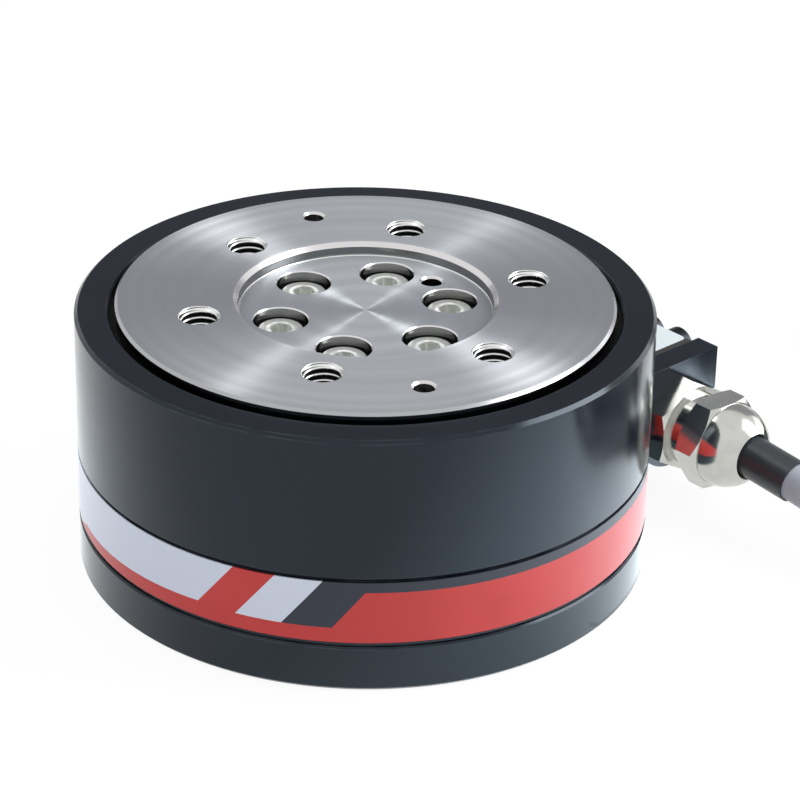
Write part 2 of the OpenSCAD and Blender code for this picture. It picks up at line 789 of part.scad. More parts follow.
module coil_section(grow) {
  corner = cable_r + grow;
  w = coil_out - coil_in + 2 * grow;
  h = coil_h + 2 * grow;
  translate([coil_in - grow, tie_t - grow]) {
    translate([corner, 0]) square([w - 2 * corner, h]);
    translate([0, corner]) square([w, h - 2 * corner]);
    for (x = [corner, w - corner], y = [corner, h - corner]) translate([x, y]) circle(r = corner, $fn = 48);
  }
}

module cable_coil() {
  color("#8f9094") translate(concat(coil_at, 0)) rotate_extrude() coil_section(0);
}

module coil_tie() {
  color("#1c1c1e") translate(concat(coil_at, 0))
    for (a = tie_angles) rotate([0, 0, a - tie_span / 2]) rotate_extrude(angle = tie_span)
      difference() {
        coil_section(tie_t);
        coil_section(0);
      }
}

module cable_tail() {
  color("#8f9094") swept(tail, cable_r);
}

module on_plug(s = 0) {
  translate(tail[len(tail) - 1]) rotate([0, 90, plug_turn]) translate([0, 0, s]) children();
}

module connector_body() {
  color("#1d1e20")
    on_plug() difference() {
      rotate_extrude()
        polygon([
          [0, 0], [cable_r + 1, 0], [cable_r + 1.6, 1.4], [plug_r - 0.8, plug_taper - 1], [plug_r, plug_taper],
          [plug_r, plug_l - ring_lap - 1], [plug_r - 1.4, plug_l - ring_lap - 1], [plug_r - 1.4, plug_l], [0, plug_l]
        ]);
      for (k = [0:7]) rotate([0, 0, 45 * k]) translate([plug_r + 0.5, 0, plug_taper + 1]) cylinder(r = 1, h = 9, $fn = 24);
      translate([0, 0, plug_l - ring_lap]) cylinder(r = insert_r, h = ring_lap + 1);
    }
}

module connector_ring() {
  flutes = 24;
  color("#c2c3c4")
    on_plug(plug_l - ring_lap) difference() {
      rotate_extrude()
        polygon([
          [plug_r - 1.35, 0], [ring_r - 0.4, 0], [ring_r, 0.4], [ring_r, ring_l - 4.4], [ring_r - 0.6, ring_l - 4],
          [ring_r - 0.6, ring_l - 0.3], [ring_r - 0.9, ring_l], [5.6, ring_l], [5.6, 4], [plug_r - 1.35, 4]
        ]);
      for (k = [0:flutes - 1]) rotate([0, 0, 360 * k / flutes]) translate([ring_r + 0.35, 0, -1])
        cylinder(r = 0.55, h = ring_l - 4.6, $fn = 16);
    }
}

module connector_insert() {
  color("#26272a")
    on_plug(plug_l - ring_lap) difference() {
      cylinder(r = insert_r - 0.05, h = insert_l);
      translate([0, insert_r + 0.2, -1]) cylinder(r = 0.8, h = insert_l + 2, $fn = 24);
      pin_places() translate([0, 0, pin_foot]) cylinder(r = pin_r, h = insert_l, $fn = 24);
    }
}

module pin_places() {
  for (k = [0:6]) rotate([0, 0, 360 * k / 7]) translate([0.62 * insert_r, 0, 0]) children();
  children();
}

module connector_pins() {
  color("#c9a544")
    on_plug(plug_l - ring_lap) pin_places() translate([0, 0, pin_foot + eps])
      cylinder(r = pin_r - 0.02, h = pin_l, $fn = 24);
}

base_flange();
housing();
label();
tool_plate();
plate_seal();
sensing_element();
strain_gauges();
hub_screws();
hub_dowel();
element_screws();
housing_screws();
amplifier_board();
board_chips();
board_spacers();
board_screws();
flange_o_ring();
outlet_block();
outlet_screws();
plate_gasket();
gland_plate();
gland_body();
gland_o_ring();
gland_clamp();
gland_seal();
gland_nut();
cable_sleeve();
inner_lead();
signal_cores();
cable_lead();
cable_coil();
coil_tie();
cable_tail();
connector_body();
connector_ring();
connector_insert();
connector_pins();
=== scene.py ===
# %% [markdown]
# # A force torque sensor for a robot wrist
#
# The sensor sits between a robot's wrist and its tool, and measures how hard the tool pushes and twists.
# On the outside it is simple: a turned black housing, a bright steel plate that the tool bolts to,
# a printed label wrapped round the foot, and a metal cable gland on a small block at the side.
#
# The solids come from the CAD model. This lesson gives them their finishes, cuts the fine threads
# that the CAD leaves out, and lays the cable as a real length of cable.

import math

import bpy
import bmesh
from mathutils import Matrix, Vector


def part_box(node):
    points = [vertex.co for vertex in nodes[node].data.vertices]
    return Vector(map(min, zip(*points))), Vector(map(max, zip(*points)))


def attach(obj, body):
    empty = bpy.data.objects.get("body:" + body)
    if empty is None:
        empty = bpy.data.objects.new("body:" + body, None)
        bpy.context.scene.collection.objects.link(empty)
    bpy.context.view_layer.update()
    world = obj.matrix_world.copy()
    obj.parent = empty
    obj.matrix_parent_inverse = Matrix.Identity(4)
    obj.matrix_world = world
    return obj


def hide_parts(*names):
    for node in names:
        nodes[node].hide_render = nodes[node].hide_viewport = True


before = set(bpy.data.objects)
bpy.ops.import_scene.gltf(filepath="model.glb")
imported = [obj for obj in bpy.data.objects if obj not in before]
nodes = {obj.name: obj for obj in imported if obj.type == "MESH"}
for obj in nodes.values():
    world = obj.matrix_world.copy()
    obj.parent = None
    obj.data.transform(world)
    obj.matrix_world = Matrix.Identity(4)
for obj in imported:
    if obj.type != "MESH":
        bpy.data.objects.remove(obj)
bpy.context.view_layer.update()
print("nodes:", len(nodes))

# %% [markdown]
# ## Units
#
# Blender works in metres, and this object's drawings are in millimetres. One small helper turns a
# point in millimetres into a Vector in metres, so that every number below can be read as a drawing's.

# %% Millimetres
MM = 0.001


def in_mm(point):
    return Vector([value * MM for value in point])


print("one millimetre is", MM)

# %% [markdown]
# ## The camera
#
# A long lens from a low height makes the two rims of the housing nearly parallel ellipses.
# A camera can be aimed with a Track To constraint. Here its three axes are worked out from
# an azimuth, an elevation and a small roll instead, which keeps every angle a number that can be read.

# %% Camera
CAMERA_AIM = in_mm((7.92, 7.87, 18.82))
CAMERA_DISTANCE = 0.4929
CAMERA_AZIMUTH = math.radians(-17)
CAMERA_ELEVATION = math.radians(27.59)
CAMERA_ROLL = math.radians(1.23)
CAMERA_LENS = 146.2


def camera_axes():
    """Right, up and back, after the roll."""
    back = Vector((
        math.sin(CAMERA_AZIMUTH) * math.cos(CAMERA_ELEVATION),
        -math.cos(CAMERA_AZIMUTH) * math.cos(CAMERA_ELEVATION),
        math.sin(CAMERA_ELEVATION),
    ))
    right = Vector((math.cos(CAMERA_AZIMUTH), math.sin(CAMERA_AZIMUTH), 0))
    roll = Matrix.Rotation(CAMERA_ROLL, 3, back)
    return roll @ right, roll @ back.cross(right), back


camera_right, camera_up, camera_back = camera_axes()
camera_data = bpy.data.cameras.new("camera")
camera_data.lens = CAMERA_LENS
camera_data.clip_start = 0.01
camera = bpy.data.objects.new("camera", camera_data)
turn_to_view = Matrix((camera_right, camera_up, camera_back)).transposed().to_4x4()
camera.matrix_world = Matrix.Translation(CAMERA_AIM + camera_back * CAMERA_DISTANCE) @ turn_to_view
bpy.context.scene.collection.objects.link(camera)
bpy.context.scene.camera = camera
bpy.context.scene.view_settings.view_transform = "Standard"
print("camera at", [round(v, 3) for v in camera.matrix_world.translation])

# %% [markdown]
# ## The cable's route
#
# The lead leaves the gland in a short black sleeve, droops to the table and is wound into a coil
# of two layers. A cable is drawn as one open curve with a round bevel, because then its length and
# its diameter are true everywhere. The loose stretches follow listed points, the same as in
# the CAD source. The turns follow a formula: the lower layer winds inwards, the upper one outwards,
# and both ends swing a little wide, as the ends of a real coil do.

# %% Points of the loose stretches
LEAD_POINTS = [
    (63.5, -15.5, 9.5), (65.7, -20.0, 8.9), (67.9, -24.4, 8.0), (70.1, -28.9, 6.7),
    (72.3, -33.4, 5.3), (74.5, -37.9, 4.2), (76.7, -42.4, 3.6),
]
TAIL_POINTS = [
    (161.8, 10.5, 9.1), (158.3, 14.7, 8.6), (154.6, 18.6, 8.2), (150.6, 22.4, 7.9),
    (146.4, 26.3, 7.7), (141.9, 29.8, 7.7), (137.0, 32.0, 7.8),
]
COIL_CENTRE = (123, -22)
COIL_RADIUS = 34.5
COIL_PITCH = 6.1
LAYER_TURNS = 3.25
LOWER_LAYER_Z = 3.6
TURNS_TO_SETTLE = 0.22
TURNS_TO_CLIMB = 0.16
TURNS_TO_LEAVE = 0.19
STEPS_PER_TURN = 48
print(len(LEAD_POINTS), "points before the coil and", len(TAIL_POINTS), "after it")


# %% Points of the turns
def ease(share):
    """From 0 to 1 along half a cosine wave, and flat outside that."""
    return (1 - math.cos(math.pi * min(max(share, 0), 1))) / 2


def polar(point):
    """Angle in degrees and distance of a point, seen from the coil's centre."""
    x, y = point[0] - COIL_CENTRE[0], point[1] - COIL_CENTRE[1]
    return math.degrees(math.atan2(y, x)) % 360, math.hypot(x, y)


def coil_points():
    """The turns' points, in mm, and how many turns there are."""
    start_angle, start_radius = polar(LEAD_POINTS[-1])
    end_angle, end_radius = polar(TAIL_POINTS[0])
    part_turn = (end_angle - start_angle) / 360
    turns = round(2 * LAYER_TURNS - part_turn) + part_turn
    outer = COIL_RADIUS + LAYER_TURNS * COIL_PITCH / 2
    inner = outer - turns / 2 * COIL_PITCH
    upper_layer_z = LOWER_LAYER_Z + COIL_PITCH
    steps = int(turns * STEPS_PER_TURN)
    points = []
    for i in range(1, steps):
        turn = turns * i / steps
        settling = 1 - ease(turn / TURNS_TO_SETTLE)
        leaving = ease((turn - turns + TURNS_TO_LEAVE) / TURNS_TO_LEAVE)
        radius = inner + abs(turn - turns / 2) * COIL_PITCH
        radius += (start_radius - outer) * settling + (end_radius - outer) * leaving
        climb = ease((turn - turns / 2) / TURNS_TO_CLIMB + 0.5)
        height = LOWER_LAYER_Z + COIL_PITCH * climb + (TAIL_POINTS[0][2] - upper_layer_z) * leaving
        angle = math.radians(start_angle + 360 * turn)
        points.append((
            COIL_CENTRE[0] + radius * math.cos(angle),
            COIL_CENTRE[1] + radius * math.sin(angle),
            height,
        ))
    return points, turns


def rounded(points, steps=5):
    """A Catmull-Rom curve through the points."""
    ends = [points[0] * 2 - points[1]] + points + [points[-1] * 2 - points[-2]]
    smooth = []
    for a, b, c, d in zip(ends, ends[1:], ends[2:], ends[3:]):
        for step in range(steps):
            t = step / steps
            smooth.append(0.5 * (
                2 * b + (c - a) * t + (2 * a - 5 * b + 4 * c - d) * t**2
                + (3 * b - a - 3 * c + d) * t**3
            ))
    return smooth + [points[-1]]


turn_points, turn_count = coil_points()
lead = rounded([in_mm(p) for p in LEAD_POINTS])
tail = rounded([in_mm(p) for p in TAIL_POINTS])
cable_route = lead + [in_mm(p) for p in turn_points] + tail
cable_length = sum((b - a).length for a, b in zip(cable_route, cable_route[1:]))
print(f"the cable is {cable_length:.3f} m long, in {turn_count:.2f} turns")


# %% The cable as a curve
def tube_curve(name, points, diameter):
    """A round bevel of one metre, scaled down to the cable's by the points' own radius."""
    curve = bpy.data.curves.new(name, "CURVE")
    curve.dimensions = "3D"
    curve.bevel_depth = 1.0
    curve.bevel_resolution = 5
    curve.use_fill_caps = True
    spline = curve.splines.new("POLY")
    spline.points.add(len(points) - 1)
    for point, place in zip(spline.points, points):
        point.co = (*place, 1)
        point.radius = diameter / 2
    spline.use_smooth = True
    piece = bpy.data.objects.new(name, curve)
    bpy.context.scene.collection.objects.link(piece)
    return piece


CABLE_DIAMETER = 0.006
cable = tube_curve("cable", cable_route, CABLE_DIAMETER)
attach(cable, "root")
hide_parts("cable_lead", "cable_coil", "cable_tail")
print("cable:", len(cable_route), "points")

# %% [markdown]
# ## Colours
#
# A colour as given here is an sRGB value, and shaders want linear light. This helper does the
# conversion, so that a colour can be written the way a paint or print colour usually is.


# %% Colour helper
def paint(red, green, blue):
    """An sRGB colour, each channel from 0 to 255, as linear RGBA."""
    channels = []
    for value in (red, green, blue):
        value /= 255
        channels.append(value / 12.92 if value <= 0.04045 else ((value + 0.055) / 1.055) ** 2.4)
    return (*channels, 1)


print("mid grey in linear light:", round(paint(128, 128, 128)[0], 3))

# %% [markdown]
# ## Effects that several finishes share
#
# Real finishes repeat a few effects: fine grain, lathe marks, soft handling marks and edges rubbed
# bright. Each one is built once here as a shader node group with named sockets, and each material
# places it with its own values. A group gives out only a mask, a value or a height. The Principled
# shader stays in the material, so that the finish can be read there at a glance.


# %% A helper for node groups
class Recipe:
    """Adds nodes to a tree and joins them, with few words."""

    def __init__(self, tree):
        self.tree = tree

    def add(self, kind, inputs=None, **settings):
        node = self.tree.nodes.new(kind)
        for name, value in settings.items():
            setattr(node, name, value)
        for name, value in (inputs or {}).items():
            self.feed(node.inputs[name], value)
        return node

    def feed(self, socket, value):
        if isinstance(value, bpy.types.NodeSocket):
            self.tree.links.new(value, socket)
        else:
            socket.default_value = value

    def math(self, operation, *values, clamp=False):
        node = self.add("ShaderNodeMath", operation=operation, use_clamp=clamp)
        for socket, value in zip(node.inputs, values):
            self.feed(socket, value)
        return node.outputs[0]

    def vector_math(self, operation, *values, output=0):
        node = self.add("ShaderNodeVectorMath", operation=operation)
        for socket, value in zip(node.inputs, values):
            self.feed(socket, value)
        return node.outputs[output]

    def remap(self, value, low, high, to_low=0.0, to_high=1.0):
        node = self.add("ShaderNodeMapRange", {
            "Value": value, "From Min": low, "From Max": high, "To Min": to_low, "To Max": to_high,
        })
        return node.outputs["Result"]

    def mix(self, share, first, second):
        node = self.add("ShaderNodeMix", data_type="RGBA")
        self.feed(node.inputs["Factor"], share)
        self.feed(node.inputs[6], first)
        self.feed(node.inputs[7], second)
        return node.outputs[2]


def effect_group(name, inputs, outputs):
    """A new shader node group: returns its recipe, its input sockets and its output node."""
    tree = bpy.data.node_groups.new(name, "ShaderNodeTree")
    for label, value in inputs.items():
        kind = "NodeSocketVector" if value is None else "NodeSocketFloat"
        socket = tree.interface.new_socket(label, in_out="INPUT", socket_type=kind)
        if value is not None:
            socket.default_value = value
    for label in outputs:
        tree.interface.new_socket(label, in_out="OUTPUT", socket_type="NodeSocketFloat")
    recipe = Recipe(tree)
    entry = recipe.add("NodeGroupInput")
    leave = recipe.add("NodeGroupOutput")
    return recipe, entry.outputs, leave


print("recipe helper ready")


# %% Effect: fine grain
# Blasted, cast and moulded surfaces all carry a fine even grain.
def build_fine_grain():
    make, entry, leave = effect_group("fine grain", {"Vector": None, "Size mm": 0.3}, ["Value", "Height"])
    scale = make.math("DIVIDE", 1000, entry["Size mm"])
    noise = make.add("ShaderNodeTexNoise", {
        "Vector": entry["Vector"], "Scale": scale, "Detail": 3.0, "Roughness": 0.6,
    })
    make.feed(leave.inputs["Value"], make.remap(noise.outputs["Fac"], 0.3, 0.7))
    make.feed(leave.inputs["Height"], noise.outputs["Fac"])
    return make.tree


fine_grain = build_fine_grain()
print("built", fine_grain.name)


# %% Effect: turning marks
# A lathe tool leaves rings round the axis. The rings are noise read along the radius alone, so they
# are perfectly round, with a slower noise on top that makes some bands of them deeper.
def build_turning_marks():
    make, entry, leave = effect_group(
        "turning marks", {"Vector": None, "Pitch mm": 0.25, "Along axis": 0.0}, ["Value", "Height"]
    )
    parts = make.add("ShaderNodeSeparateXYZ", {"Vector": entry["Vector"]})
    flat = make.add("ShaderNodeCombineXYZ", {"X": parts.outputs["X"], "Y": parts.outputs["Y"]})
    radius = make.vector_math("LENGTH", flat.outputs[0], output=1)
    along = make.math("MULTIPLY", parts.outputs["Z"], entry["Along axis"])
    place_mm = make.math("MULTIPLY", make.math("ADD", radius, along), 1000)
    place = make.math("DIVIDE", place_mm, entry["Pitch mm"])
    rings = make.add("ShaderNodeTexNoise", {"W": place, "Scale": 1.0, "Detail": 2.0}, noise_dimensions="1D")
    bands = make.add(
        "ShaderNodeTexNoise", {"W": place, "Scale": 0.07, "Detail": 1.0}, noise_dimensions="1D"
    )
    make.feed(leave.inputs["Value"], make.remap(bands.outputs["Fac"], 0.3, 0.7))
    make.feed(leave.inputs["Height"], make.math("MULTIPLY", rings.outputs["Fac"], bands.outputs["Fac"]))
    return make.tree


turning_marks = build_turning_marks()
print("built", turning_marks.name)


# %% Effect: handling marks
# Fingers and cloths leave large soft patches that are a little duller or shinier than the rest.
def build_handling_marks():
    make, entry, leave = effect_group("handling marks", {"Vector": None, "Size mm": 18.0}, ["Value"])
    scale = make.math("DIVIDE", 1000, entry["Size mm"])
    noise = make.add("ShaderNodeTexNoise", {
        "Vector": entry["Vector"], "Scale": scale, "Detail": 4.0, "Roughness": 0.55, "Distortion": 0.4,
    })
    make.feed(leave.inputs["Value"], make.remap(noise.outputs["Fac"], 0.35, 0.68))
    return make.tree


handling_marks = build_handling_marks()
print("built", handling_marks.name)


# %% Effect: rubbed edges
# A Bevel node rounds the normal near an edge. Where it differs from the true normal there is an
# edge, and a little noise breaks the mask up so that the wear isn't an even outline.
# On the plated screws, the pale colour that follows this mask is wear and a painted highlight in one.
def build_rubbed_and_highlit_edges():
    make, entry, leave = effect_group(
        "rubbed edges", {"Vector": None, "Width mm": 0.3, "Break-up mm": 4.0}, ["Value"]
    )
    width = make.math("MULTIPLY", entry["Width mm"], MM)
    rounded_normal = make.add("ShaderNodeBevel", {"Radius": width}, samples=4)
    true_normal = make.add("ShaderNodeNewGeometry")
    match = make.vector_math(
        "DOT_PRODUCT", rounded_normal.outputs["Normal"], true_normal.outputs["Normal"], output=1
    )
    edge = make.remap(match, 0.995, 0.90)
    scale = make.math("DIVIDE", 1000, entry["Break-up mm"])
    noise = make.add("ShaderNodeTexNoise", {"Vector": entry["Vector"], "Scale": scale, "Detail": 5.0})
    patches = make.remap(noise.outputs["Fac"], 0.38, 0.62)
    make.feed(leave.inputs["Value"], make.math("MULTIPLY", edge, patches, clamp=True))
    return make.tree


rubbed_and_highlit_edges = build_rubbed_and_highlit_edges()
print("built", rubbed_and_highlit_edges.name)


# %% A helper for materials
class Finish(Recipe):
    """A material with one Principled shader, object coordinates and the shared effects."""

    def __init__(self, name, **constants):
        self.material = bpy.data.materials.new(name)
        self.material.use_nodes = True
        super().__init__(self.material.node_tree)
        self.shader = self.tree.nodes["Principled BSDF"]
        self.place = self.add("ShaderNodeTexCoord").outputs["Object"]
        for label, value in constants.items():
            self.shader.inputs[label.replace("_", " ")].default_value = value

    def effect(self, group, output="Value", **values):
        """One shared effect: its named output, or the whole node where the output is None."""
        node = self.add("ShaderNodeGroup", {"Vector": self.place}, node_tree=group)
        for label, value in values.items():
            node.inputs[label.replace("_", " ")].default_value = value
        return node.outputs[output] if output else node

    def colour(self, value):
        self.feed(self.shader.inputs["Base Color"], value)

    def roughness(self, value):
        self.feed(self.shader.inputs["Roughness"], value)

    def relief(self, height, depth_mm, strength=1.0):
        bump = self.add("ShaderNodeBump", {
            "Height": height, "Distance": depth_mm * MM, "Strength": strength,
        })
        self.feed(self.shader.inputs["Normal"], bump.outputs["Normal"])


def dress(material, *names):
    """Gives CAD nodes their finish."""
    for name in names:
        for slot in nodes[name].material_slots:
            slot.material = material


print("finish helper ready")

# %% [markdown]
# ## Black anodised aluminium
#
# The housing, the base flange and the gland plate are turned or milled aluminium with a black
# anodised skin. Anodising keeps the tool marks and adds a very fine matt grain, so the finish is a
# near-black dielectric with a soft sheen, faint rings and edges that have rubbed a little paler. The
# skin's reflections are a little blue, and the rings under it stretch them along the housing's height.


# %% Black anodising
def anodised(name, along_axis):
    finish = Finish(
        name, Specular_IOR_Level=0.39, Specular_Tint=(0.73, 0.87, 1, 1),
        Anisotropic=0.6, Anisotropic_Rotation=0.25,
    )
    tangent = finish.add("ShaderNodeTangent", direction_type="RADIAL", axis="Z")
    finish.feed(finish.shader.inputs["Tangent"], tangent.outputs["Tangent"])
    marks = finish.effect(handling_marks, Size_mm=26.0)
    rings = finish.effect(turning_marks, output=None, Pitch_mm=0.22, Along_axis=along_axis)
    grain = finish.effect(fine_grain, output=None, Size_mm=0.25)
    edges = finish.effect(rubbed_and_highlit_edges, Width_mm=0.25)
    body = finish.mix(marks, paint(13, 18, 25), paint(18, 23, 32))
    finish.colour(finish.mix(finish.math("MULTIPLY", edges, 0.35), body, paint(120, 124, 130)))
    dull_marks = finish.math("MULTIPLY", marks, 0.03)
    dull_rings = finish.math("MULTIPLY", rings.outputs["Value"], 0.03)
    finish.roughness(finish.math("ADD", finish.math("ADD", dull_marks, dull_rings), 0.13))
    ring_height = finish.math("MULTIPLY", rings.outputs["Height"], 0.5)
    height = finish.math("ADD", ring_height, grain.outputs["Height"])
    finish.relief(height, 0.002, 0.4)
    return finish.material


anodised_turned = anodised("black anodised, turned", 1.0)
anodised_milled = anodised("black anodised, milled", 0.0)
dress(anodised_turned, "housing", "base_flange")
dress(anodised_milled, "gland_plate")
print("black anodised parts dressed")

# %% [markdown]
# ## The printed label
#
# A film printed in red, light grey and dark grey goes once round the foot of the housing. It could
# be an image on an unwrapped mesh. Drawn from two coordinates instead, the angle round the axis and
# the height, it stays sharp at any distance. Every slanted edge is the same helix, so one number,
# the slant, turns an angle and a height into a distance across the stripes. Angles are in degrees from
# the label's front, and heights in millimetres.

# %% Label colours and edges
LABEL_RED = paint(188, 55, 54)
LABEL_LIGHT = paint(207, 213, 227)
LABEL_DARK = paint(46, 50, 62)
LABEL_FRONT = math.radians(-107)
LABEL_TOP_Z = 17.55
SLANT = 1.07
LIGHT_FIELD_END = -24.3
LIGHT_FIELD_FLOOR_Z = 10.4
FLOOR_DROP = (-32, -72)
FLOOR_RUN_OUT = (-71, -79)
RUN_OUT_HEIGHT = 2.0
LIGHT_STRIPE = (-15.9, -6.6)
DARK_STRIPE_END = 3.1
STRIPES_BOTTOM_Z = 10.2
DARK_STRIP_Z = 16.0
DARK_STRIP_END = 150.0
print("slant:", SLANT, "degrees a millimetre")


# %% Label film
def label_print():
    film = Finish("printed film", Roughness=0.3, Specular_IOR_Level=0.31)
    front = (math.cos(LABEL_FRONT), math.sin(LABEL_FRONT), 0)
    side = (-math.sin(LABEL_FRONT), math.cos(LABEL_FRONT), 0)
    towards = film.vector_math("DOT_PRODUCT", film.place, front, output=1)
    across = film.vector_math("DOT_PRODUCT", film.place, side, output=1)
    angle = film.math("MULTIPLY", film.math("ARCTAN2", across, towards), math.degrees(1))
    parts = film.add("ShaderNodeSeparateXYZ", {"Vector": film.place})
    height = film.math("MULTIPLY", parts.outputs["Z"], 1000)
    below_top = film.math("SUBTRACT", LABEL_TOP_Z, height)
    slanted = film.math("MULTIPLY_ADD", below_top, SLANT, angle)

    def between(value, low, high):
        above = film.math("GREATER_THAN", value, low)
        return film.math("MULTIPLY", above, film.math("LESS_THAN", value, high))

    def higher_than(level):
        return film.math("GREATER_THAN", height, level)

    # The light field's lower edge drops by a millimetre to the left, and runs out at its far end
    drop = film.remap(angle, *FLOOR_DROP)
    run_out = film.remap(angle, *FLOOR_RUN_OUT, 0.0, RUN_OUT_HEIGHT)
    field_floor = film.math("SUBTRACT", film.math("MULTIPLY_ADD", drop, -1.0, LIGHT_FIELD_FLOOR_Z), run_out)
    field = film.math("MULTIPLY", film.math("LESS_THAN", slanted, LIGHT_FIELD_END), higher_than(field_floor))
    light_start, light_end = LIGHT_STRIPE
    stripes_zone = higher_than(STRIPES_BOTTOM_Z)
    light_stripe = film.math("MULTIPLY", between(slanted, light_start, light_end), stripes_zone)
    dark_stripe = film.math("MULTIPLY", between(slanted, light_end, DARK_STRIPE_END), stripes_zone)
    dark_strip = film.math("MULTIPLY", between(angle, light_end, DARK_STRIP_END), higher_than(DARK_STRIP_Z))
    dark_strip = film.math("MULTIPLY", dark_strip, film.math("GREATER_THAN", slanted, light_end))
    dark = film.math("MAXIMUM", dark_stripe, dark_strip)
    light = film.math("MAXIMUM", field, light_stripe)
    ink = film.effect(handling_marks, Size_mm=9.0)
    red = film.mix(ink, LABEL_RED, paint(194, 59, 57))
    colour = film.mix(light, red, LABEL_LIGHT)
    film.colour(film.mix(dark, colour, LABEL_DARK))
    grain = film.effect(fine_grain, "Height", Size_mm=0.5)
    film.relief(grain, 0.004, 0.4)
    return film.material


dress(label_print(), "label")
print("label printed")

# %% [markdown]
# ## Turned steel
#
# The tool plate is faced on a lathe. Its fine rings spread a highlight sideways, which is why such a
# disc shows bright spokes that meet at its centre. The cause is the grooves themselves, far too fine
# to model. The Principled shader has the effect built in as Anisotropic, with a Radial tangent that
# runs round the axis and a rotation of a quarter turn, so that the spread runs across the rings. Bumped
# rings on top give the marks that can be seen one by one. The floor of the centring recess is a touch
# less metallic, which evens its tones out.


# %% Steel finishes
RING_GAIN = 1.07


def machined_steel(name, colour, roughness, spread, pitch, turned=True, metallic=1.0):
    """Steel with rings of a pitch in mm. The spread is how far they draw a highlight out."""
    steel = Finish(name, Metallic=metallic, Anisotropic=spread, Anisotropic_Rotation=0.25)
    if spread:
        tangent = steel.add("ShaderNodeTangent", direction_type="RADIAL", axis="Z")
        steel.feed(steel.shader.inputs["Tangent"], tangent.outputs["Tangent"])
    rings = steel.effect(turning_marks, output=None, Pitch_mm=pitch, Along_axis=0.6)
    marks = steel.effect(handling_marks, Size_mm=30.0)
    bright = tuple(min(1, c * RING_GAIN) for c in colour[:3]) + (1,)
    steel.colour(steel.mix(rings.outputs["Value"], colour, bright))
    change = steel.math("MULTIPLY_ADD", rings.outputs["Value"], 0.05, steel.math("MULTIPLY", marks, 0.03))
    steel.roughness(steel.math("ADD", change, roughness))
    if turned:
        steel.relief(rings.outputs["Height"], 0.004, 0.35)
    else:
        steel.relief(steel.effect(fine_grain, "Height", Size_mm=0.2), 0.004, 0.4)
    return steel.material


turned_steel = machined_steel("turned steel", paint(186, 189, 193), 0.335, 1.0, 0.16, metallic=0.92)
hub_steel = machined_steel("turned hub floor", paint(188, 192, 197), 0.335, 1.0, 0.16, metallic=0.84)
bored_steel = machined_steel("bored steel", paint(128, 129, 129), 0.14, 0.0, 0.3)
edge_steel = machined_steel("bright chamfer steel", paint(212, 210, 211), 0.17, 0.0, 0.3)
ground_steel = machined_steel("ground steel", paint(170, 171, 174), 0.2, 0.0, 0.5, turned=False)
milled_alloy = machined_steel("milled alloy", paint(176, 178, 182), 0.3, 0.0, 0.6)
print("finishes for the plate's faces:", turned_steel.name, "and", hub_steel.name)

# %% [markdown]
# ## The tool plate, with real threads
#
# Six holes of the plate are tapped, and their threads are plain to see. The CAD keeps them as
# smooth bores at the tapping size. A thread could be a bump texture, but the crests and the dark
# roots between them are deep enough to need real geometry. The plate is copied, the walls of the six
# holes are taken out, and each is lined with a helical surface made on a grid of angle and depth.

# %% Sizes of the threaded holes
THREAD_COUNT = 6
THREAD_PCD = 50.0
THREAD_CREST_R = 2.55
THREAD_ROOT_R = 3.05
THREAD_PITCH = 1.0
THREAD_DEPTH = 5.9
MOUTH_R = 3.09
MOUTH_DEPTH = 0.45
CUT_R = MOUTH_R + 0.05
RIM_REACH = MOUTH_R + 0.1
RIM_TOLERANCE = 0.12
STEPS_ROUND = 72
ROWS_PER_PITCH = 12
TURNED_FINISH, BORED_FINISH, THREAD_FINISH, EDGE_FINISH, RIM_FINISH, HUB_FINISH = range(6)
print("threads:", THREAD_COUNT, "on a circle of", THREAD_PCD, "mm")


# %% Thread profile
def thread_radius(angle, depth):
    """Radius of the hole's wall, in mm, at an angle and a depth below its mouth."""
    share = (depth / THREAD_PITCH - angle / math.tau) % 1.0
    wall = THREAD_CREST_R + (THREAD_ROOT_R - THREAD_CREST_R) * ease(2 * abs(share - 0.5))
    mouth = MOUTH_R - (MOUTH_R - THREAD_CREST_R) * depth / MOUTH_DEPTH
    return max(wall, mouth)


def hole_places(count, pcd):
    """The axes, in mm, of holes that stand evenly on a circle."""
    for k in range(count):
        angle = math.radians(k * 360 / count)
        yield Vector((pcd / 2 * math.cos(angle), pcd / 2 * math.sin(angle), 0))


def gap_to_axis(vert, place):
    """Distance, in metres, from a vertex to a hole's axis."""
    return math.hypot(vert.co.x - place.x * MM, vert.co.y - place.y * MM)


def cut_hole_walls(mesh, places):
    """Deletes the faces that lie wholly within a hole, with its countersink."""
    walls = [face for face in mesh.faces if any(
        max(gap_to_axis(vert, place) for vert in face.verts) < CUT_R * MM for place in places
    )]
    bmesh.ops.delete(mesh, geom=walls, context="FACES")
    return len(walls)


def line_with_thread(mesh, place, top_z):
    """A helical wall, one ring of vertices below another. Returns how many faces it has."""
    rows = int(THREAD_DEPTH * ROWS_PER_PITCH)
    rings = []
    for row in range(rows + 1):
        depth = THREAD_DEPTH * row / rows
        ring = []
        for step in range(STEPS_ROUND):
            angle = math.tau * step / STEPS_ROUND
            radius = thread_radius(angle, depth)
            ring.append(mesh.verts.new(in_mm((
                place.x + radius * math.cos(angle), place.y + radius * math.sin(angle), top_z - depth,
            ))))
        rings.append(ring)
    for upper, lower in zip(rings, rings[1:]):
        for step in range(STEPS_ROUND):
            after = (step + 1) % STEPS_ROUND
            face = mesh.faces.new([upper[step], upper[after], lower[after], lower[step]])
            face.smooth = True
            face.material_index = THREAD_FINISH
    return rows * STEPS_ROUND


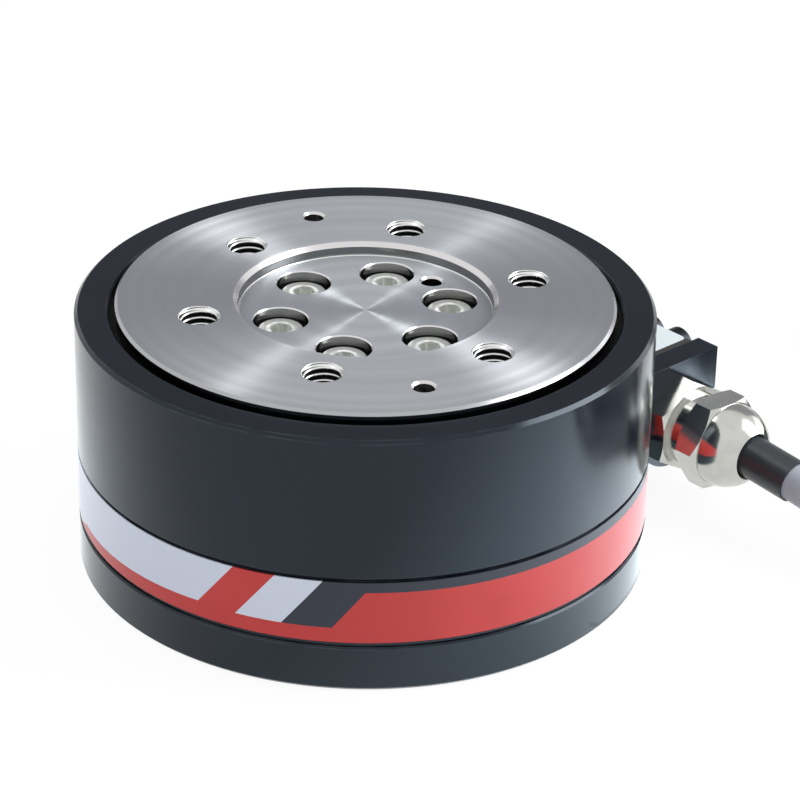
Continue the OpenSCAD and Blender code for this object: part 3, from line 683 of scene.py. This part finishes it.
def join_linings(mesh, places, levels):
    """Joins every lining to the plate at its mouth and its foot, so that the plate is closed again."""
    rims = [edge for edge in mesh.edges if edge.is_boundary]
    for place in places:
        for level in levels:
            both = [edge for edge in rims if all(
                gap_to_axis(vert, place) < RIM_REACH * MM
                and abs(vert.co.z - level * MM) < RIM_TOLERANCE * MM for vert in edge.verts
            )]
            for face in bmesh.ops.bridge_loops(mesh, edges=both)["faces"]:
                face.material_index = THREAD_FINISH
                face.normal_update()
                if face.normal.z < 0:
                    face.normal_flip()


print("the wall at the mouth has radius", thread_radius(0, 0))


# %% Steel of the threads
# The roots of a thread are painted dark, a painted shade where they lie in shadow, while its crests keep
# the bright steel. How far a point lies from the hole's axis tells a root from a crest. The holes stand
# at equal angles, so one formula folds them all onto the first: the angle is taken modulo the angle
# between two holes. The painted shade starts and is full at two distances, in mm, outside the crests,
# and the countersunk mouth is left unshaded.
PAINTED_ROOT_SHADE = (0.10, 0.24)
MOUTH_FADE = 0.1


def from_hole_axis(metal, parts, count, pcd):
    """Distance, in metres, from the nearest of the axes that stand evenly on a circle."""
    x, y = parts.outputs["X"], parts.outputs["Y"]
    angle = metal.math("ARCTAN2", y, x)
    between = math.tau / count
    folded = metal.math("WRAP", angle, between / 2, -between / 2)

    def diagonal(a, b):
        squares = [metal.math("MULTIPLY", side, side) for side in (a, b)]
        return metal.math("SQRT", metal.math("ADD", *squares))

    reach = diagonal(x, y)
    gap_x = metal.math("SUBTRACT", metal.math("MULTIPLY", reach, metal.math("COSINE", folded)), pcd / 2 * MM)
    gap_y = metal.math("MULTIPLY", reach, metal.math("SINE", folded))
    return diagonal(gap_x, gap_y)


def thread_steel_finish():
    steel = Finish("threaded steel", Metallic=1.0)
    parts = steel.add("ShaderNodeSeparateXYZ", {"Vector": steel.place})
    from_axis = from_hole_axis(steel, parts, THREAD_COUNT, THREAD_PCD)
    shade_start, shade_full = ((THREAD_CREST_R + past) * MM for past in PAINTED_ROOT_SHADE)
    root = steel.remap(from_axis, shade_start, shade_full)
    mouth_foot = plate_top - MOUTH_DEPTH
    below = steel.remap(parts.outputs["Z"], mouth_foot * MM, (mouth_foot - MOUTH_FADE) * MM)
    # Painted shade: the roots are mixed towards near-black, and the crests keep the bright steel.
    dark = steel.math("MULTIPLY", root, below)
    steel.colour(steel.mix(dark, paint(226, 227, 226), paint(26, 27, 28)))
    steel.roughness(steel.math("MULTIPLY_ADD", dark, 0.3, 0.2))
    steel.relief(steel.effect(fine_grain, "Height", Size_mm=0.3), 0.02, 0.5)
    return steel.material


plate_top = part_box("tool_plate")[1].z / MM
thread_steel = thread_steel_finish()
print("the plate's face is at", round(plate_top, 2), "mm")


# %% Threaded copy of a node
def threaded_copy(name, node, places, top_z):
    mesh = bmesh.new()
    mesh.from_mesh(nodes[node].data)
    cut = cut_hole_walls(mesh, places)
    added = sum(line_with_thread(mesh, place, top_z) for place in places)
    join_linings(mesh, places, (top_z, top_z - THREAD_DEPTH))
    data = bpy.data.meshes.new(name)
    mesh.to_mesh(data)
    mesh.free()
    piece = bpy.data.objects.new(name, data)
    bpy.context.scene.collection.objects.link(piece)
    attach(piece, "root")
    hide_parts(node)
    print(f"{name}: {cut} faces of the holes out, {added} in")
    return piece


plate_holes = list(hole_places(THREAD_COUNT, THREAD_PCD))
tool_plate = threaded_copy("threaded_tool_plate", "tool_plate", plate_holes, plate_top)
for finish in (turned_steel, bored_steel, thread_steel, edge_steel, ground_steel, hub_steel):
    tool_plate.data.materials.append(finish)


# %% Faces of the plate
# The anisotropy belongs to the turned faces. Upright walls, of the counterbores, the recess and the
# plate's outside, get a darker steel without it. The chamfers and the dowel holes' walls get a bright
# one, and the chamfer round the outside a ground one. Sizes are in mm, and the first two values are
# how much of a face's normal points up or down.
FLAT_FACE = 0.93
UPRIGHT_FACE = 0.3
RECESS_R = 20
OUTER_HOLES_R = 35
RECESS_STEP = 0.5


def plate_finish(polygon):
    """Which of the plate's finishes a face has, from where it lies and which way it faces."""
    if polygon.material_index == THREAD_FINISH:
        return THREAD_FINISH
    x, y, z = polygon.center / MM
    reach = math.hypot(x, y)
    if abs(polygon.normal.z) > FLAT_FACE:
        return HUB_FINISH if reach < RECESS_R and z < plate_top - RECESS_STEP else TURNED_FINISH
    if abs(polygon.normal.z) < UPRIGHT_FACE and not RECESS_R < reach < OUTER_HOLES_R:
        return BORED_FINISH
    return EDGE_FINISH if reach < OUTER_HOLES_R else RIM_FINISH


for polygon in tool_plate.data.polygons:
    polygon.material_index = plate_finish(polygon)
print("bright edge faces:", sum(p.material_index == EDGE_FINISH for p in tool_plate.data.polygons))

# %% [markdown]
# ## Screws, dowels and the small metal parts
#
# The hub screws are nickel plated, a little yellow beside the steel. The screws that hold the foot
# and the outlet are black oxide. Both get a fine grain and rubbed edges, because a bare metal part
# with a perfectly even finish looks like plastic. On the plated screws the pale edges are also a
# painted highlight.


# %% Plated and blackened metal
def plated(
    name, colour, edge_wear_and_highlight, roughness,
    metallic=1.0, edge_width=0.2, grain_mm=0.25, grain_depth=0.004, mottle=0.14,
):
    """Mottle is how much darker the handled patches are. Widths, grain and depth are in mm."""
    metal = Finish(name, Metallic=metallic)
    marks = metal.effect(handling_marks, Size_mm=5.0)
    edges = metal.effect(rubbed_and_highlit_edges, Width_mm=edge_width)
    shade = tuple(c * (1 - mottle) for c in colour[:3]) + (1,)
    metal.colour(metal.mix(metal.math("MULTIPLY", edges, 0.6), metal.mix(marks, colour, shade), edge_wear_and_highlight))
    metal.roughness(metal.math("MULTIPLY_ADD", marks, 0.08, roughness))
    metal.relief(metal.effect(fine_grain, "Height", Size_mm=grain_mm), grain_depth, 0.4)
    return metal.material


print("plated finish ready")

# %% Hub screws
# The socket's mouth is chamfered, and a pale ring round each hexagon is a painted highlight of that
# chamfer. The four radii, in mm, are where the ring starts, is full, starts to fade and ends. The ring
# is also less metallic than the screw, so that it stays pale whatever it faces. The pale rubbed edges
# are wear and a painted highlight in one.
HUB_SCREW_COUNT = 6
HUB_SCREW_PCD = 25.7
SOCKET_HIGHLIGHT_RING = (1.55, 1.75, 2.05, 2.3)


def hub_screw_finish():
    metal = Finish("bright plated hub screw")
    marks = metal.effect(handling_marks, Size_mm=1.6)
    parts = metal.add("ShaderNodeSeparateXYZ", {"Vector": metal.place})
    reach = from_hole_axis(metal, parts, HUB_SCREW_COUNT, HUB_SCREW_PCD)
    inner, inner_full, outer_full, outer = (size * MM for size in SOCKET_HIGHLIGHT_RING)
    rise, fall = metal.remap(reach, inner, inner_full), metal.remap(reach, outer, outer_full)
    # Painted highlight: a pale ring at the chamfered mouth of each socket.
    ring = metal.math("MULTIPLY", rise, fall)
    ring = metal.math("MULTIPLY", ring, metal.remap(marks, 0.3, 0.6, 0.35, 1.0))
    edges = metal.effect(rubbed_and_highlit_edges, Width_mm=0.3)
    body = metal.mix(marks, paint(224, 226, 222), paint(203, 205, 200))
    # The ring's painted highlight, together with the edges' wear and painted highlight.
    bright = metal.math("MAXIMUM", ring, metal.math("MULTIPLY", edges, 0.6))
    metal.colour(metal.mix(bright, body, paint(255, 255, 252)))
    metal.feed(metal.shader.inputs["Metallic"], metal.math("MULTIPLY_ADD", bright, -0.6, 0.7))
    metal.roughness(metal.math("MULTIPLY_ADD", marks, 0.1, 0.34))
    metal.relief(metal.effect(fine_grain, "Height", Size_mm=0.25), 0.004, 0.4)
    return metal.material


print("hub screws:", HUB_SCREW_COUNT, "on a circle of", HUB_SCREW_PCD, "mm")

# %% Metal parts
# The bright screws' near-white edges are wear and a painted highlight in one.
bright_screw = plated(
    "bright plated screw", paint(222, 224, 216), paint(255, 255, 252), 0.36, metallic=0.85, edge_width=0.45
)
black_oxide = plated("black oxide screw", paint(52, 54, 58), paint(120, 122, 126), 0.34)
nickel = plated("nickel plate", paint(203, 204, 199), paint(226, 227, 223), 0.12, edge_width=0.3)
blasted_alloy = plated(
    "blasted clear anodised alloy", paint(236, 246, 249), paint(242, 247, 250), 0.5,
    metallic=0.5, grain_mm=0.18, grain_depth=0.01, mottle=0.04,
)
gold_contact = plated("gold contact", paint(232, 190, 110), paint(245, 210, 140), 0.16)
brass = plated("brass spacer", paint(200, 164, 96), paint(226, 196, 130), 0.24)
dress(hub_screw_finish(), "hub_screws")
dress(bright_screw, "board_screws")
dress(black_oxide, "element_screws", "housing_screws", "outlet_screws")
dress(ground_steel, "hub_dowel")
dress(milled_alloy, "sensing_element")
dress(nickel, "gland_body", "gland_nut", "connector_ring")
dress(blasted_alloy, "outlet_block")
dress(gold_contact, "connector_pins")
dress(brass, "board_spacers")
print("metal parts dressed")

# %% [markdown]
# ## Rubber, plastic and the cable's sheath
#
# The seals are black rubber, the sleeve is shrunk polymer, and the cable has a pale grey sheath.
# These are all dielectrics. What tells them apart is how dull they are, how fine their grain is, and
# a little sheen on the rubber.


# %% Moulded finishes
def moulded(name, colour, second, roughness, grain_mm, depth_mm, **constants):
    """A polymer whose colour drifts from one to a second in soft patches."""
    polymer = Finish(name, **constants)
    patches = polymer.effect(handling_marks, Size_mm=8.0)
    polymer.colour(polymer.mix(patches, colour, second))
    grain = polymer.effect(fine_grain, output=None, Size_mm=grain_mm)
    polymer.roughness(polymer.math("MULTIPLY_ADD", grain.outputs["Value"], 0.1, roughness))
    polymer.relief(grain.outputs["Height"], depth_mm, 0.6)
    return polymer.material


rubber = moulded("black rubber", paint(20, 20, 21), paint(27, 27, 28), 0.6, 0.2, 0.02, Sheen_Weight=0.1)
sleeve_polymer = moulded("shrunk sleeve", paint(44, 50, 54), paint(50, 56, 60), 0.33, 0.5, 0.02)
sheath = moulded("grey cable sheath", paint(160, 167, 178), paint(168, 175, 184), 0.4, 0.4, 0.015)
nylon = moulded("natural nylon", paint(206, 203, 192), paint(214, 211, 201), 0.4, 0.4, 0.02)
connector_plastic = moulded("connector plastic", paint(30, 31, 33), paint(38, 39, 41), 0.45, 0.22, 0.03)
insert_plastic = moulded("insert plastic", paint(24, 24, 25), paint(30, 30, 31), 0.5, 0.3, 0.02)
dress(rubber, "plate_seal", "flange_o_ring", "plate_gasket", "gland_o_ring", "gland_seal")
dress(sleeve_polymer, "cable_sleeve")
dress(sheath, "cable_lead", "cable_coil", "cable_tail", "inner_lead")
dress(nylon, "gland_clamp")
dress(connector_plastic, "connector_body")
dress(insert_plastic, "connector_insert")
cable.data.materials.append(sheath)
print("polymer parts dressed")


# %% Signal cores
# The cores differ in colour. The cells of a Voronoi texture pick one of five, cell by cell.
WIRE_COLOURS = (
    paint(150, 40, 36), paint(40, 44, 48), paint(60, 110, 70), paint(206, 196, 92), paint(210, 210, 206),
)


def core_colours():
    cores = Finish("signal cores", Roughness=0.4)
    cells = cores.add("ShaderNodeTexVoronoi", {"Vector": cores.place, "Scale": 420.0})
    parts = cores.add("ShaderNodeSeparateColor", {"Color": cells.outputs["Color"]})
    ramp = cores.add("ShaderNodeValToRGB", {"Fac": parts.outputs[0]})
    ramp.color_ramp.interpolation = "CONSTANT"
    stops = ramp.color_ramp.elements
    for index, colour in enumerate(WIRE_COLOURS):
        stop = stops[0] if index == 0 else stops.new(index / len(WIRE_COLOURS))
        stop.color = colour
    cores.colour(ramp.outputs["Color"])
    cores.relief(cores.effect(fine_grain, "Height", Size_mm=0.3), 0.01)
    return cores.material


dress(core_colours(), "signal_cores")
print("cores coloured")


# %% [markdown]
# ## The electronics
#
# The amplifier board lies inside and is seen only if the sensor is opened. It still gets a solder
# mask with faint tracks, and the strain gauges their amber film with a fine foil grid.


# %% Board, chips and gauges
def board_mask():
    mask = Finish("solder mask", Roughness=0.35)
    tracks = mask.add(
        "ShaderNodeTexVoronoi", {"Vector": mask.place, "Scale": 260.0}, distance="MANHATTAN", feature="F1"
    )
    line = mask.remap(tracks.outputs["Distance"], 0.42, 0.47)
    mask.colour(mask.mix(line, paint(24, 84, 56), paint(58, 122, 84)))
    mask.relief(line, 0.03, 0.6)
    return mask.material


def gauge_film():
    film = Finish("gauge film", Roughness=0.3)
    wave = film.add("ShaderNodeTexWave", {"Vector": film.place, "Scale": 1400.0}, bands_direction="DIAGONAL")
    foil = film.remap(wave.outputs["Fac"], 0.45, 0.55)
    film.colour(film.mix(foil, paint(190, 126, 58), paint(128, 96, 64)))
    film.relief(foil, 0.01, 0.5)
    return film.material


dress(board_mask(), "amplifier_board")
dress(gauge_film(), "strain_gauges")
dress(insert_plastic, "board_chips")
print("electronics dressed")


# %% [markdown]
# ## The coil's ties
#
# Strips of woven hook-and-loop tape hold the coil. Two crossed waves, multiplied, are enough for a
# plain weave at this scale, and some sheen gives the fuzz of its loops.


# %% Woven tape
def woven_tape():
    tape = Finish("woven tape", Roughness=0.85, Sheen_Weight=0.4, Sheen_Roughness=0.5)
    threads = {"Vector": tape.place, "Scale": 900.0, "Distortion": 0.5}
    warp = tape.add("ShaderNodeTexWave", threads, bands_direction="X")
    weft = tape.add("ShaderNodeTexWave", threads, bands_direction="Y")
    weave = tape.math("MULTIPLY", warp.outputs["Fac"], weft.outputs["Fac"])
    tape.colour(tape.mix(weave, paint(22, 22, 24), paint(48, 48, 52)))
    tape.relief(weave, 0.12, 0.8)
    return tape.material


dress(woven_tape(), "coil_tie")
print("ties dressed")

# %% [markdown]
# ## The floor and the background
#
# The sensor stands on a plain white table in a white studio. To the camera, and in reflections,
# nearly all of the table's white is a glow, so that it is white without more light on the sensor. A
# small share is real light on a white surface, which keeps the sensor's soft shadow. The light that
# the table throws back on the sensor is that of a plain white surface.


# %% White table
def seen_directly(recipe):
    """1 for rays that come from the camera, a mirror or glass."""
    path = recipe.add("ShaderNodeLightPath")
    seen = recipe.math("MAXIMUM", path.outputs["Is Camera Ray"], path.outputs["Is Glossy Ray"])
    return recipe.math("MAXIMUM", seen, path.outputs["Is Transmission Ray"])


GLOW_SHARE = 0.9


def white_table():
    material = bpy.data.materials.new("white table")
    material.use_nodes = True
    material.node_tree.nodes.clear()
    make = Recipe(material.node_tree)
    plain = make.add("ShaderNodeBsdfDiffuse", {"Color": (0.8, 0.8, 0.8, 1)})
    shade = 1.0 - GLOW_SHARE
    lit = make.add("ShaderNodeBsdfDiffuse", {"Color": (shade, shade, shade, 1)})
    glow = make.add("ShaderNodeEmission", {"Color": (1, 1, 1, 1), "Strength": GLOW_SHARE + 0.02})
    both = make.add("ShaderNodeAddShader", {0: lit.outputs[0], 1: glow.outputs[0]})
    choice = make.add("ShaderNodeMixShader", {
        0: seen_directly(make), 1: plain.outputs[0], 2: both.outputs[0],
    })
    make.add("ShaderNodeOutputMaterial", {"Surface": choice.outputs[0]})
    return material


def flat_square(name, half_size):
    mesh = bmesh.new()
    bmesh.ops.create_grid(mesh, x_segments=2, y_segments=2, size=half_size)
    data = bpy.data.meshes.new(name)
    mesh.to_mesh(data)
    mesh.free()
    piece = bpy.data.objects.new(name, data)
    bpy.context.scene.collection.objects.link(piece)
    return piece


FLOOR_HALF_SIZE = 3.0
floor = flat_square("floor", FLOOR_HALF_SIZE)
floor.data.materials.append(white_table())
print("floor laid")

# %% Studio walls
WALL_LIGHT = 0.8
world = bpy.data.worlds.new("studio")
world.use_nodes = True
world.node_tree.nodes.clear()
studio = Recipe(world.node_tree)
walls = studio.add("ShaderNodeBackground", {"Color": (0.97, 0.985, 1, 1), "Strength": WALL_LIGHT})
backdrop = studio.add("ShaderNodeBackground", {"Color": (1, 1, 1, 1), "Strength": 1.0})
studio_mix = studio.add("ShaderNodeMixShader", {
    0: seen_directly(studio), 1: walls.outputs[0], 2: backdrop.outputs[0],
})
studio.add("ShaderNodeOutputWorld", {"Surface": studio_mix.outputs[0]})
bpy.context.scene.world = world
print("walls light the sensor at", WALL_LIGHT)

# %% [markdown]
# ## Lamps
#
# A large soft box stands to the right and a narrow strip lamp high behind on the left. The bright
# spokes on the turned plate lie where a lamp's direction and the rings' spread agree, so the lamps'
# places set the spokes' directions, and a lamp's width sets a spoke's. A low, wide box on the right
# lights mostly the upright walls.
#
# Low behind the sensor stands a grey card. Metal shows only what it reflects, and with nothing but
# white round it the steel would look like paper, so the card gives it something darker to show. The
# black rim mirrors the same card and needs it darker than the steel does. So the card is dark, and a
# veil in front of it adds light that only the metal parts show.


# %% Soft boxes
def direction(azimuth, elevation):
    azimuth, elevation = math.radians(azimuth), math.radians(elevation)
    return Vector((
        math.cos(azimuth) * math.cos(elevation), math.sin(azimuth) * math.cos(elevation), math.sin(elevation),
    ))


STUDIO_TARGET = Vector((0, 0, 0.03))


def aim(holder, azimuth, elevation, distance):
    outward = direction(azimuth, elevation)
    holder.location = STUDIO_TARGET + outward * distance
    holder.rotation_euler = outward.to_track_quat("Z", "Y").to_euler()


def soft_box(name, azimuth, elevation, distance, width, height, radiance):
    """An area lamp aimed at the sensor. Its power follows from how bright its face should look."""
    lamp = bpy.data.lights.new(name, "AREA")
    lamp.shape = "RECTANGLE"
    lamp.size, lamp.size_y = width, height
    lamp.energy = radiance * math.pi * width * height
    holder = bpy.data.objects.new(name, lamp)
    bpy.context.scene.collection.objects.link(holder)
    aim(holder, azimuth, elevation, distance)
    return holder


soft_box("right soft box", -13, 33, 0.8, 0.38, 0.485, 7.6)
soft_box("left strip lamp", 131, 60, 0.6, 0.195, 0.05, 9.0)
low_box = soft_box("low right soft box", 0, 8, 0.7, 0.75, 0.3, 1.4)
low_box.visible_camera = False
print("lamps set")


# %% Shapes seen only in reflections
HALF_METRE = 0.5


def reflected(name, tint, strength, receivers=None, radius=None, clear=True):
    """A flat shape that glows in reflections alone: a square, or with a radius a disc that fades.

    A clear one adds to what lies behind it, and receivers are the pieces that it shows in.
    """
    shape = flat_square(name, HALF_METRE if radius is None else radius * MM)
    surface = bpy.data.materials.new(name)
    surface.use_nodes = True
    surface.node_tree.nodes.clear()
    make = Recipe(surface.node_tree)
    if radius is not None:
        reach = make.vector_math("LENGTH", make.add("ShaderNodeTexCoord").outputs["Object"], output=1)
        strength = make.remap(reach, 0.0, radius * MM, strength, 0.0)
    shade = make.add("ShaderNodeEmission", {"Color": tint, "Strength": strength}).outputs[0]
    if clear:
        through = make.add("ShaderNodeBsdfTransparent").outputs[0]
        shade = make.add("ShaderNodeAddShader", {0: shade, 1: through}).outputs[0]
    make.add("ShaderNodeOutputMaterial", {"Surface": shade})
    shape.data.materials.append(surface)
    shape.visible_camera = shape.visible_diffuse = shape.visible_shadow = False
    if receivers:
        shape.light_linking.receiver_collection = receivers
    return shape


def lit_group(name, *names):
    """A collection of the pieces that one of these shapes shows in."""
    group = bpy.data.collections.new(name)
    for piece in names:
        group.objects.link(nodes[piece] if piece in nodes else bpy.data.objects[piece])
    return group


DARK_PARTS = ("housing", "base_flange", "label")
METAL_PARTS = (
    "threaded_tool_plate", "hub_screws", "hub_dowel", "gland_body", "gland_nut", "gland_seal", "outlet_block",
    "cable_sleeve", "connector_ring", "plate_seal",
)
print("dark parts:", len(DARK_PARTS), "metal parts:", len(METAL_PARTS))

# %% Grey card and its veil
CARD_SIZE = (1.52, 0.76, 1)
CARD_TONE = 0.26
VEIL_TONE = 0.15
CARD_AZIMUTH, CARD_ELEVATION = 73, 27
CARD_DISTANCE, VEIL_DISTANCE = 0.9, 0.895


def card_tint(tone):
    return (tone, tone, tone * 1.06, 1)


card = reflected("grey card", card_tint(CARD_TONE), 1.0, clear=False)
veil = reflected("veil on the card", card_tint(VEIL_TONE), 1.0, lit_group("lit by the veil", *METAL_PARTS))
for shape, distance in ((card, CARD_DISTANCE), (veil, VEIL_DISTANCE)):
    shape.scale = CARD_SIZE
    aim(shape, CARD_AZIMUTH, CARD_ELEVATION, distance)
print("card set")

# %% [markdown]
# ## Pools of light on the table
#
# The soft boxes light the table most strongly just beside the housing. To the eye the table is white
# everywhere, and no brighter than that can be shown, but the black housing is a dim mirror that
# shows the difference: its sides turn silvery there. Discs that glow in reflections alone stand for
# those pools. Their light is linked to the dark parts, because the bright metal would burn out. Each
# pool has a centre and a radius in millimetres, and a strength at its centre.

# %% Light pools
POOL_TINT = (0.86, 0.99, 1.08, 1)
POOL_Z = 0.4
dark_group = lit_group("lit by the pools", *DARK_PARTS)
pools = (
    ("right pool", (57, -35), 85, 2.3, dark_group),
    ("left pool", (-55, 28), 58, 0.65, dark_group),
    ("outlet pool", (88, -6), 62, 10.0, lit_group("lit at the outlet", "gland_plate")),
)
for name, centre, radius, strength, receivers in pools:
    pool = reflected(name, POOL_TINT, strength, receivers, radius)
    pool.location = in_mm((*centre, POOL_Z))
print("pools:", [name for name, *_ in pools])
